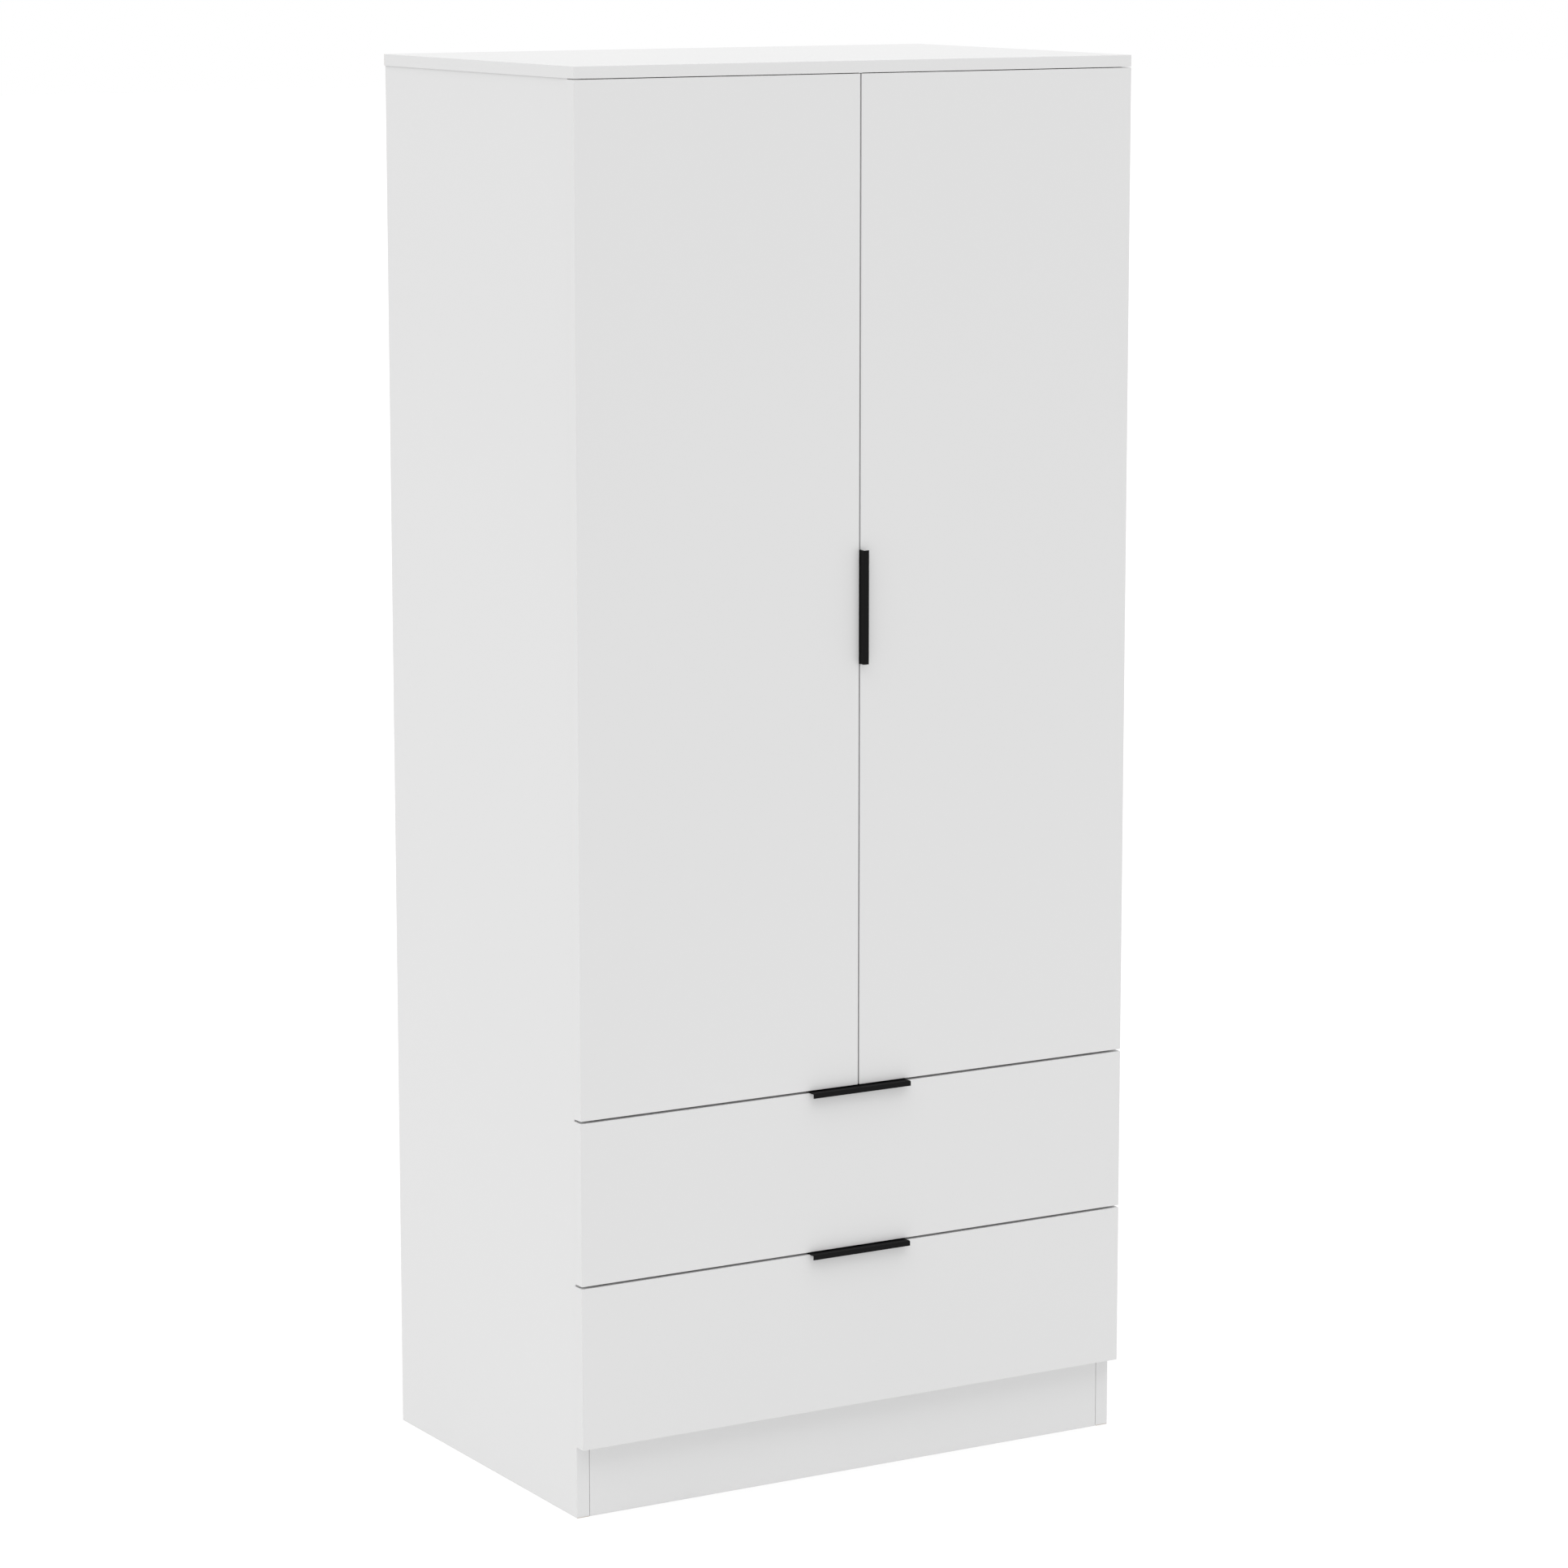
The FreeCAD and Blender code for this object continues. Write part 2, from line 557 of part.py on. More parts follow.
def handle_screw_drop():
    return HANDLE_SHEET - HANDLE_TAIL + HANDLE_SCREW_UP


def handle_screw_places():
    return (-HANDLE_SCREW_PITCH / 2, HANDLE_SCREW_PITCH / 2)


def drawer_handle(front_bottom):
    pull = edge_pull(HANDLE_LIP)
    pull.translate(FreeCAD.Vector(0, FACE, front_bottom + DRAWER_FRONT_HEIGHT))
    return pull


def drawer_handle_screws(front_bottom):
    z = front_bottom + DRAWER_FRONT_HEIGHT + handle_screw_drop()
    return [((x, FRONT_BACK + HANDLE_SHEET, z), -Y_AXIS, SCREW_LENGTH) for x in handle_screw_places()]


def door_handle():
    """The same pull, upright over the right door's free edge."""
    pull = edge_pull(DOOR_HANDLE_LIP)
    pull.rotate(FreeCAD.Vector(0, 0, 0), Y_AXIS, -90)
    pull.translate(FreeCAD.Vector(DOOR_GAP / 2, FACE, DOOR_HANDLE_Z))
    return pull


def door_handle_screws():
    x = DOOR_GAP / 2 - handle_screw_drop()
    return [((x, FRONT_BACK + HANDLE_SHEET, DOOR_HANDLE_Z + z), -Y_AXIS, SCREW_LENGTH)
            for z in handle_screw_places()]


# ---- concealed hinges, modelled on the left side ------------------------------------------
def plan(point, z):
    """World point of a plan point beside the left side panel."""
    return FreeCAD.Vector(-SIDE_OUT + point[0], CARCASS_FRONT - point[1], z)


def plan_box(u0, u1, v0, v1, z0, z1):
    return box(-SIDE_OUT + u0, -SIDE_OUT + u1, CARCASS_FRONT - v0, CARCASS_FRONT - v1, z0, z1)


def disc(point, radius, z0, z1):
    return Part.makeCylinder(radius, z1 - z0, plan(point, z0), Z_AXIS)


def bar(points, half, z0, z1):
    """Flat bar of rounded plan outline through points."""
    pieces = []
    for a, b in zip(points[:-1], points[1:]):
        start, end = plan(a, z0), plan(b, z0)
        along = end - start
        across = FreeCAD.Vector(-along.y, along.x, 0).normalize() * half
        corners = [start + across, end + across, end - across, start - across, start + across]
        pieces.append(Part.Face(Part.makePolygon(corners)).extrude(FreeCAD.Vector(0, 0, z1 - z0)))
    rounds = [disc(point, half, z0, z1) for point in points]
    return fuse([*pieces, *rounds])


def layers(span, z):
    """The two mirror-image height ranges of a layer above and below the middle height z."""
    near, far = span
    return ((z - far, z - near), (z + near, z + far))


def inner_link(z):
    """Curved link in two plates, joined by the barrel on the arm's rear pin."""
    reach = INNER_LINK_Z[1]
    route = [ARM_REAR_PIN, *INNER_LINK_BENDS, CUP_REAR_PIN]
    pieces = [disc(ARM_REAR_PIN, EYE_RADIUS, z - reach, z + reach)]
    for low, high in layers(INNER_LINK_Z, z):
        pieces.append(bar(route, INNER_LINK_HALF, low, high))
        pieces.append(disc(CUP_REAR_PIN, EYE_RADIUS, low, high))
    holes = [disc(point, PIN_RADIUS + PIN_PLAY, z - reach - 1, z + reach + 1)
             for point in (ARM_REAR_PIN, CUP_REAR_PIN)]
    return cut(fuse(pieces), holes)


def outer_link_end():
    """Centre of the open eye around the arm's front pin."""
    turn = math.radians(OUTER_LINK_ANGLE)
    return (CUP_FRONT_PIN[0] + OUTER_LINK_LENGTH * math.cos(turn),
            CUP_FRONT_PIN[1] + OUTER_LINK_LENGTH * math.sin(turn))


def outer_link(z):
    reach = OUTER_LINK_Z[1]
    eye = outer_link_end()
    pieces = [bar([CUP_FRONT_PIN, eye], OUTER_LINK_HALF, z - reach, z + reach),
              disc(CUP_FRONT_PIN, EYE_RADIUS, z - reach, z + reach),
              disc(eye, OPEN_EYE_RADIUS, z - reach, z + reach)]
    holes = [disc(CUP_FRONT_PIN, PIN_RADIUS + PIN_PLAY, z - reach - 1, z + reach + 1),
             disc(eye, OPEN_PIVOT_HOLE, z - reach - 1, z + reach + 1)]
    return cut(fuse(pieces), holes)


def hinge_arm(z):
    """Channel that holds both arm pins and is screwed to the mounting plate."""
    rear, web_front, outer = -66.0, -27.0, 24.0
    reach = CHEEK_Z[1]
    pieces = [plan_box(ARM_TOP - ARM_SHEET, ARM_TOP, rear, web_front, z - reach, z + reach)]
    for low, high in layers(CHEEK_Z, z):
        pieces.append(plan_box(outer, ARM_TOP, rear, ARM_REAR_PIN[1], low, high))
        pieces.append(bar([ARM_REAR_PIN, ARM_FRONT_PIN], EYE_RADIUS, low, high))
    for pin in (ARM_REAR_PIN, ARM_FRONT_PIN):
        pieces.append(disc(pin, PIN_RADIUS, z - reach, z + reach))
    return cut(fuse(pieces), [pilot(*place) for place in arm_screws(z)])


def arm_screws(z):
    return [(tuple(plan((ARM_TOP, -setback), z)), -X_AXIS, ARM_SCREW_LENGTH)
            for setback in ARM_SCREW_SETBACKS]


def mounting_plate(z):
    """Winged plate on the side panel with a raised rib inside the arm's channel."""
    wing_reach, rear, front = 26.0, -62.0, -30.0
    rib_half, rib_top = 6.7, ARM_TOP - ARM_SHEET
    wings = plan_box(BOARD, BOARD + WING_SHEET, rear, front, z - wing_reach, z + wing_reach)
    wings = wings.makeFillet(WING_ROUND, edges_along(wings, X_AXIS))
    rib = plan_box(BOARD, rib_top, rear - RIB_TAIL, front, z - rib_half, z + rib_half)
    return cut(fuse([wings, rib]), [pilot(*place) for place in (*plate_screws(z), *arm_screws(z))])


def plate_screws(z):
    return [(tuple(plan((BOARD + WING_SHEET, -PLATE_SETBACK), z + side * PLATE_PITCH / 2)), -X_AXIS,
             SCREW_LENGTH) for side in (-1, 1)]


def cup_bore(z):
    return Part.makeCylinder(CUP_RADIUS, CUP_DEPTH, plan((CUP_CENTRE, DOOR_TO_BODY), z), -Y_AXIS)


def hinge_cup(z):
    """Pressed cup with a screwed flange and the lugs that hold both cup pins."""
    mouth = DOOR_TO_BODY
    outer = cup_bore(z)
    hollow = Part.makeCylinder(CUP_RADIUS - CUP_WALL, CUP_DEPTH - CUP_WALL,
                               plan((CUP_CENTRE, mouth - CUP_FLANGE), z), -Y_AXIS)
    ear_reach = CUP_EAR_PITCH / 2 + EAR_END
    ears = plan_box(CUP_CENTRE - EAR_OUT, CUP_CENTRE + EAR_IN, mouth - CUP_FLANGE, mouth,
                    z - ear_reach, z + ear_reach)
    ears = ears.makeFillet(EAR_ROUND, edges_along(ears, Y_AXIS))
    rim = Part.makeCylinder(CUP_RADIUS + RIM_EXTRA, CUP_FLANGE, plan((CUP_CENTRE, mouth - CUP_FLANGE), z),
                            -Y_AXIS)
    shell = fuse([outer, ears, rim]).cut(hollow)
    # The rim is open where the links swing over it.
    notch_half = INNER_LINK_Z[1] + NOTCH_PLAY
    notch = plan_box(0.0, NOTCH_DEPTH, mouth - CUP_FLANGE - 1, NOTCH_DEPTH + 1,
                     z - notch_half, z + notch_half)
    shell = shell.cut(notch)
    floor = mouth + CUP_DEPTH - CUP_WALL / 2
    lugs = []
    for span, points in ((CUP_LUG_Z, (CUP_REAR_PIN, CUP_FRONT_PIN)), (CHEEK_Z, (CUP_REAR_PIN,))):
        for low, high in layers(span, z):
            lugs += [bar([point, (point[0] + LUG_LEAN, floor)], LUG_HALF, low, high) for point in points]
    pieces = [shell, *(lug.common(outer) for lug in lugs)]
    for point, half in ((CUP_REAR_PIN, CHEEK_Z[1]), (CUP_FRONT_PIN, CUP_LUG_Z[1])):
        pieces.append(disc(point, PIN_RADIUS, z - half, z + half))
    return cut(fuse(pieces), [pilot(*place) for place in cup_screws(z)])


def cup_screws(z):
    v = DOOR_TO_BODY - CUP_FLANGE
    return [(tuple(plan((CUP_CENTRE + CUP_EAR_SHIFT, v), z + side * CUP_EAR_PITCH / 2)), -Y_AXIS,
             SCREW_LENGTH) for side in (-1, 1)]


def hinge_node(build):
    return group([build(z) for z in HINGE_HEIGHTS])


def hinge_screws(places):
    return [screw(*place) for z in HINGE_HEIGHTS for place in places(z)]


# ---- doors --------------------------------------------------------------------------------
def door_bores():
    bores = [cup_bore(z) for z in HINGE_HEIGHTS]
    return bores + [pilot(*place) for z in HINGE_HEIGHTS for place in cup_screws(z)]


def left_door():
    panel = board(-HALF_WIDTH, -DOOR_GAP / 2, FACE, FRONT_BACK, DOOR_BOTTOM, DOOR_TOP)
    return cut(panel, door_bores())


def right_door():
    panel = board(DOOR_GAP / 2, HALF_WIDTH, FACE, FRONT_BACK, DOOR_BOTTOM, DOOR_TOP)
    return cut(panel, [*map(mirrored, door_bores()), *(pilot(*place) for place in door_handle_screws())])


def door_buffers():
    """Soft dots on the carcass front that the closed doors touch."""
    radius, from_top, places = 3.0, 4.0, (30.0, 180.0)
    dots = [rod(radius, (x, CARCASS_FRONT, MIDDLE_TOP - from_top), -Y_AXIS, DOOR_TO_BODY)
            for x in places]
    return group(with_mirrors(dots))


# ---- wall anchor --------------------------------------------------------------------------
def bracket_screws():
    y_front = BACK_FRONT - BRACKET_LEG
    return [((BRACKET_X + side * BRACKET_SCREW_HALF_PITCH, y_front + BRACKET_SCREW_SETBACK,
              TOP_UNDER - BRACKET_SHEET), Z_AXIS, BRACKET_SCREW_LENGTH) for side in (-1, 1)]


def wall_bracket():
    x0, x1 = BRACKET_X - BRACKET_WIDTH / 2, BRACKET_X + BRACKET_WIDTH / 2
    shelf = box(x0, x1, BACK_FRONT - BRACKET_LEG, BACK_FRONT, TOP_UNDER - BRACKET_SHEET, TOP_UNDER)
    leg = box(x0, x1, BACK_FRONT - BRACKET_SHEET, BACK_FRONT, TOP_UNDER - BRACKET_LEG, TOP_UNDER)
    anchor = rod(ANCHOR_HOLE, (BRACKET_X, BACK_FRONT - BRACKET_SHEET - 1, TOP_UNDER - ANCHOR_DROP),
                 Y_AXIS, BRACKET_SHEET + 2)
    return cut(fuse([shelf, leg]), [anchor, *(pilot(*place) for place in bracket_screws())])


# ---- the whole wardrobe -------------------------------------------------------------------
def carcass_screw_places():
    """Screws beside the right side panel, apart from the hinges'."""
    places = [place for base in (FRONT_BOTTOM, UPPER_FRONT_BOTTOM) for place in cabinet_screws(base)]
    return [*places, *socket_screws()]


def carcass_nodes():
    bolts, cams, dowels = joinery()
    right_bores = joinery_bores()
    bores = with_mirrors(right_bores)
    pilots = [pilot(*place) for place in carcass_screw_places()]
    plate_pilots = [mirrored(pilot(*place)) for z in HINGE_HEIGHTS for place in plate_screws(z)]
    anchors = [pilot(*place) for place in bracket_screws()]
    screws = [screw(*place) for place in (*carcass_screw_places(), *bracket_screws())]
    screws += [mirrored(one) for one in hinge_screws(plate_screws)]
    side = side_panel([*right_bores, *pilots, *plate_pilots])
    socket = rail_socket()
    back = back_panel()
    return {
        "right_side_panel": side,
        "left_side_panel": mirrored(side),
        "top_panel": top_panel([*bores, *with_mirrors(anchors)]),
        "bottom_panel": fixed_shelf(*SHELF_PLACES[0], bores),
        "middle_panel": fixed_shelf(*SHELF_PLACES[1], bores),
        "hat_shelf": fixed_shelf(*SHELF_PLACES[2], bores),
        "front_plinth": plinth(PLINTH_MIDDLES[0], bores),
        "rear_plinth": plinth(PLINTH_MIDDLES[1], bores),
        "right_back_panel": back,
        "left_back_panel": mirrored(back),
        "back_joining_strip": joining_strip(),
        "hanging_rail": hanging_rail(),
        "right_rail_socket": socket,
        "left_rail_socket": mirrored(socket),
        "cam_bolts": group(bolts),
        "cam_locks": group(cams),
        "wood_dowels": group(dowels),
        "carcass_screws": group(with_mirrors(screws)),
        "hinge_arm_screws": group(with_mirrors(hinge_screws(arm_screws))),
        "wall_brackets": group(with_mirrors([wall_bracket()])),
        "door_buffers": door_buffers(),
    }


def hinge_nodes():
    left = {
        "hinge_plates": hinge_node(mounting_plate),
        "hinge_arms": hinge_node(hinge_arm),
        "hinge_cups": hinge_node(hinge_cup),
        "hinge_inner_links": hinge_node(inner_link),
        "hinge_outer_links": hinge_node(outer_link),
    }
    nodes = {"left_" + name: shape for name, shape in left.items()}
    nodes.update({"right_" + name: mirrored(shape) for name, shape in left.items()})
    return nodes


def drawer_nodes(name, front_bottom):
    side = drawer_side(front_bottom)
    pairs = {"cabinet_slides": cabinet_member, "middle_slides": middle_member,
             "drawer_slides": drawer_member}
    nodes = {f"{name}_{key}": group([build(front_bottom), mirrored(build(front_bottom))])
             for key, build in pairs.items()}
    nodes.update({
        f"{name}_front": drawer_front(front_bottom),
        f"{name}_right_side": side,
        f"{name}_left_side": mirrored(side),
        f"{name}_back": drawer_back(front_bottom),
        f"{name}_bottom": drawer_bottom(front_bottom),
        f"{name}_handle": drawer_handle(front_bottom),
        f"{name}_screws": drawer_screws(front_bottom),
        f"{name}_dowels": group(with_mirrors(front_dowels(front_bottom))),
    })
    return nodes


def main():
    cup_screw_solids = hinge_screws(cup_screws)
    handle_screw_solids = [screw(*place) for place in door_handle_screws()]
    nodes = carcass_nodes()
    nodes.update(hinge_nodes())
    nodes.update({
        "left_door": left_door(),
        "left_door_screws": group(cup_screw_solids),
        "right_door": right_door(),
        "right_door_screws": group([*map(mirrored, cup_screw_solids), *handle_screw_solids]),
        "door_handle": door_handle(),
    })
    nodes.update(drawer_nodes("upper_drawer", UPPER_FRONT_BOTTOM))
    nodes.update(drawer_nodes("lower_drawer", FRONT_BOTTOM))
    os.makedirs("parts", exist_ok=True)
    for name, shape in nodes.items():
        shape.exportStep(f"parts/{name}.step")
        print(name, len(shape.Solids), round(shape.Volume), shape.isValid())
    print(len(nodes), "nodes")


main()
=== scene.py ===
import math

import bmesh
import bpy
from mathutils import Matrix, Vector


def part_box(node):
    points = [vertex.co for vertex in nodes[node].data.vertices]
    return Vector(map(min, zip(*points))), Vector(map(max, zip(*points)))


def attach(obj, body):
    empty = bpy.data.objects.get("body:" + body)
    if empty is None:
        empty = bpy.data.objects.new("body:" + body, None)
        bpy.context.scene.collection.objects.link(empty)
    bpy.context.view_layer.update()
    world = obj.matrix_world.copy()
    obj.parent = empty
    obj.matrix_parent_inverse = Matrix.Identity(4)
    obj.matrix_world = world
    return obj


# Looks of the two-door wardrobe, in metres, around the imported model.

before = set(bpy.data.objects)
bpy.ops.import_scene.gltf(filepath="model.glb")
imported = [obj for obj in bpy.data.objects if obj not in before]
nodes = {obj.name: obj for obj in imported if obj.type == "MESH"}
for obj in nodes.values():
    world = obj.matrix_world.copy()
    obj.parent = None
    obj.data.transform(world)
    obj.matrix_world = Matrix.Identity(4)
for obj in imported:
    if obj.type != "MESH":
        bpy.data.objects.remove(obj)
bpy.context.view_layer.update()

MM = 0.001

# ---- camera and light values ---------------------------------------------------------------
CAMERA_PLACE = (-3.3422, -5.7403, 2.0229)
CAMERA_YAW = 30.484          # degrees right of straight along +Y
CAMERA_PITCH = -9.912
LEVEL = 90.0                 # an unturned camera looks straight down
LENS = 119.34
SENSOR = 36.0
CLIP_END = 200.0

SKY_LIGHT = 0.67
SUN_LEAN = (-0.042, -0.018, 0.25)    # where the soft overhead light comes from
SUN_STRENGTH = 1.94
SUN_ANGLE = 80.0
FLOOR_REACH = 40.0
FLOOR_GLOW = 0.76
FLOOR_TONE = (0.25, 0.25, 0.25)
FLOOR_SHADE = (0.24, 0.24, 0.24)
FLOOR_ROUGHNESS = 0.9
FLOOR_SHINE = 0.1
FLOOR_CLOUD_SCALE = 0.6
WHITE = (1.0, 1.0, 1.0, 1.0)


# ---- finish values -------------------------------------------------------------------------
def tinted(color, factor):
    return tuple(channel * factor for channel in color)


# White board
MELAMINE = (0.75, 0.75, 0.75)
MELAMINE_CLOUD = tinted(MELAMINE, 0.985)
MELAMINE_GRAIN = tinted(MELAMINE, 0.975)
MELAMINE_ROUGHNESS = (0.40, 0.50)
MELAMINE_EDGE = (0.75, 0.75, 0.75)
EDGE_GRAIN = tinted(MELAMINE_EDGE, 0.97)
GLUE = (0.42, 0.4, 0.37)
GLUE_SHARE = 0.22
GLUE_GROOVE = 1.4            # its depth, against the height of the paper's grain
SKIN = 0.3 * MM              # melamine paper thickness
BANDING = 1.0 * MM           # edge banding thickness
BARE_EDGE = 0.7 * MM         # how deep an unbanded edge shows its chips
FEATHER = 0.05 * MM          # soft border between two finishes
GLUE_LINE = BANDING + 0.02 * MM
GLUE_CORE = 0.02 * MM        # half the glue line's width at full strength
GLUE_FADE = 0.09 * MM        # and where it has faded out
PAPER_SCALE = 1900.0         # all scales are per metre
CLOUD_SCALE = 2.2
BAND_SCALE = 1400.0

# Chips inside the board
CHIPBOARD = (0.47, 0.35, 0.23)
CHIP_LIGHT = tinted(CHIPBOARD, 1.25)
CHIP_DARK = tinted(CHIPBOARD, 0.7)
CHIP_DUST = tinted(CHIPBOARD, 0.55)
CHIP_PORE = tinted(CHIPBOARD, 0.35)
CHIP_ROUGHENING = 0.4        # added to the roughness of the paper
FLAKE_SCALE = 650.0
COARSE_SCALE = 280.0
DUST_SCALE = 900.0
CELL_RIM = 0.9               # from a cell's middle to its rim, in cells
PORE_START = 0.55

# Drawer board
LINEN = (0.80, 0.80, 0.79)
LINEN_SHADE = (0.70, 0.70, 0.69)
LINEN_ROUGHNESS = (0.42, 0.55)
ACROSS_THREAD = 2400.0
ALONG_THREAD = 90.0
WEAVE_LOW = 0.8              # range of the two threads' sum
WEAVE_HIGH = 1.2

# Hardboard
HARDBOARD_BACK = (0.22, 0.13, 0.07)
FIBRE_DARK = tinted(HARDBOARD_BACK, 0.75)
FIBRE_LIGHT = tinted(HARDBOARD_BACK, 1.5)
FIBRE_FLECK = tinted(HARDBOARD_BACK, 2.2)
FIBRE_ROUGHNESS = 0.85
LACQUER = (0.81, 0.81, 0.8)
LACQUER_SHADE = (0.77, 0.77, 0.76)
LACQUER_SMOOTHING = 0.42     # taken off the roughness of the fibre
LACQUER_DEPTH = 0.1 * MM
SCREEN_PITCH = 1.6 * MM
SCREEN_SHARE = 0.5
FIBRE_SCALE = 260.0
FLECK_SCALE = 1500.0

# Powder coat, metal, plastic and beech
POWDER_BLACK = (0.0065, 0.0065, 0.0067)
# painted highlight: a lighter tone for specks that stand in for tiny glints on the black coat
POWDER_PAINTED_GLINT = tinted(POWDER_BLACK, 1.5)
POWDER_ROUGHNESS = (0.55, 0.68)
POWDER_SHINE = 0.08
PEEL_SCALE = 900.0
SPECK_AND_GLINT_SCALE = 3200.0
SPECK_HEIGHT = 0.4           # against the height of the orange peel
METAL_MARK_TINT = 0.7
METAL_CLOUD_TINT = 0.8
METAL_SMOOTHEST = 0.8        # shares of a metal's roughness
METAL_ROUGHEST = 1.25
METAL_CLOUD_SCALE = 120.0
PLASTIC_TINT = 0.93
PLASTIC_SMOOTHEST = 0.85
PLASTIC_ROUGHEST = 1.1
PLASTIC_SCALE = 1300.0
BEECH_DARK = (0.55, 0.36, 0.2)
BEECH_LIGHT = (0.68, 0.5, 0.32)
BEECH_ROUGHNESS = (0.6, 0.75)
BEECH_SCALE = (60.0, 900.0, 900.0)

# The range that holds most of a noise texture's values, and limits that keep its stronger marks
NOISE_LOW = 0.3
NOISE_HIGH = 0.7
STRONG_LOW = 0.35
STRONGER_LOW = 0.4
STRONGER_HIGH = 0.75
STRONGEST_LOW = 0.55

# The Mix node's sockets for colours
MIX_SHARE, MIX_A, MIX_B, MIX_RESULT = 0, 6, 7, 2

AXES = range(3)
Y_AXIS, Z_AXIS = 1, 2


# ---- node helpers --------------------------------------------------------------------------
class Graph:
    """A short way to write a material's nodes."""

    def __init__(self, name):
        self.material = bpy.data.materials.new(name)
        self.material.use_nodes = True
        self.tree = self.material.node_tree
        self.shader = self.tree.nodes["Principled BSDF"]
        self.position = self.add("ShaderNodeTexCoord").outputs["Object"]

    def add(self, kind, **settings):
        node = self.tree.nodes.new(kind)
        for key, value in settings.items():
            setattr(node, key, value)
        return node

    def link(self, source, target):
        self.tree.links.new(source, target)

    def put(self, socket, value):
        """Link value if it is a socket, else set it."""
        if isinstance(value, bpy.types.NodeSocket):
            self.link(value, socket)
        else:
            socket.default_value = value

    def math(self, operation, a, b=0.0, clamp=False):
        node = self.add("ShaderNodeMath", operation=operation, use_clamp=clamp)
        self.put(node.inputs[0], a)
        self.put(node.inputs[1], b)
        return node.outputs[0]

    def axes(self):
        """X, Y and Z of the place on the object."""
        split = self.add("ShaderNodeSeparateXYZ")
        self.link(self.position, split.inputs[0])
        return split.outputs

    def scaled(self, stretch):
        """The place, stretched per axis."""
        node = self.add("ShaderNodeVectorMath", operation="MULTIPLY")
        self.link(self.position, node.inputs[0])
        node.inputs[1].default_value = stretch
        return node.outputs[0]

    def noise(self, scale, detail=3.0, roughness=0.5, vector=None):
        node = self.add("ShaderNodeTexNoise")
        node.inputs["Scale"].default_value = scale
        node.inputs["Detail"].default_value = detail
        node.inputs["Roughness"].default_value = roughness
        self.link(vector or self.position, node.inputs["Vector"])
        return node.outputs["Fac"]

    def stretched_noise(self, stretch, detail, roughness):
        """Noise with its own scale along each axis."""
        return self.noise(1.0, detail, roughness, self.scaled(stretch))

    def cells(self, scale):
        """Distance from the middle of a cell."""
        node = self.add("ShaderNodeTexVoronoi")
        node.inputs["Scale"].default_value = scale
        self.link(self.position, node.inputs["Vector"])
        return node.outputs["Distance"]

    def ramp(self, value, low, high, out_low=0.0, out_high=1.0):
        node = self.add("ShaderNodeMapRange", clamp=True)
        self.put(node.inputs["Value"], value)
        for name, number in (("From Min", low), ("From Max", high),
                             ("To Min", out_low), ("To Max", out_high)):
            node.inputs[name].default_value = number
        return node.outputs["Result"]

    def spread(self, noise, start=0.0, end=1.0, low=NOISE_LOW, high=NOISE_HIGH):
        """Runs from start to end while a noise runs over most of its values."""
        return self.ramp(noise, low, high, start, end)

    def mix(self, share, a, b):
        node = self.add("ShaderNodeMix", data_type="RGBA")
        self.put(node.inputs[MIX_SHARE], share)
        for socket, value in ((node.inputs[MIX_A], a), (node.inputs[MIX_B], b)):
            self.put(socket, value if isinstance(value, bpy.types.NodeSocket) else (*value, 1.0))
        return node.outputs[MIX_RESULT]

    def bump(self, height, strength, distance, under=None):
        node = self.add("ShaderNodeBump")
        node.inputs["Strength"].default_value = strength
        node.inputs["Distance"].default_value = distance
        self.link(height, node.inputs["Height"])
        if under is not None:
            self.link(under, node.inputs["Normal"])
        return node.outputs["Normal"]

    def finish(self, color, roughness, normal=None, metallic=0.0, specular=0.5):
        self.put(self.shader.inputs["Base Color"], color)
        self.put(self.shader.inputs["Roughness"], roughness)
        self.shader.inputs["Metallic"].default_value = metallic
        self.shader.inputs["Specular IOR Level"].default_value = specular
        if normal is not None:
            self.link(normal, self.shader.inputs["Normal"])
        return self.material


# ---- board materials -----------------------------------------------------------------------
def wall_distance(graph, low, high, axis):
    """Distance from the nearer of a board's two faces across an axis."""
    place = graph.axes()[axis]
    return graph.math("MINIMUM", graph.math("SUBTRACT", place, low[axis]),
                      graph.math("SUBTRACT", high[axis], place))


def end_distance(graph, low, high, axis, side):
    """Distance from a board's low end (side 0) or high end (side 1) along an axis."""
    place = graph.axes()[axis]
    if side:
        return graph.math("SUBTRACT", high[axis], place)
    return graph.math("SUBTRACT", place, low[axis])


def chip_color(graph):
    """Pressed wood chips: small flakes in several browns with dark pores between them."""
    tone = graph.mix(graph.ramp(graph.cells(FLAKE_SCALE), 0.0, CELL_RIM), CHIP_LIGHT, CHIP_DARK)
    dust = graph.spread(graph.noise(DUST_SCALE), end=0.6, low=STRONG_LOW)
    tone = graph.mix(dust, tone, CHIP_DUST)
    pores = graph.ramp(graph.cells(COARSE_SCALE), PORE_START, CELL_RIM, out_high=0.5)
    return graph.mix(pores, tone, CHIP_PORE)


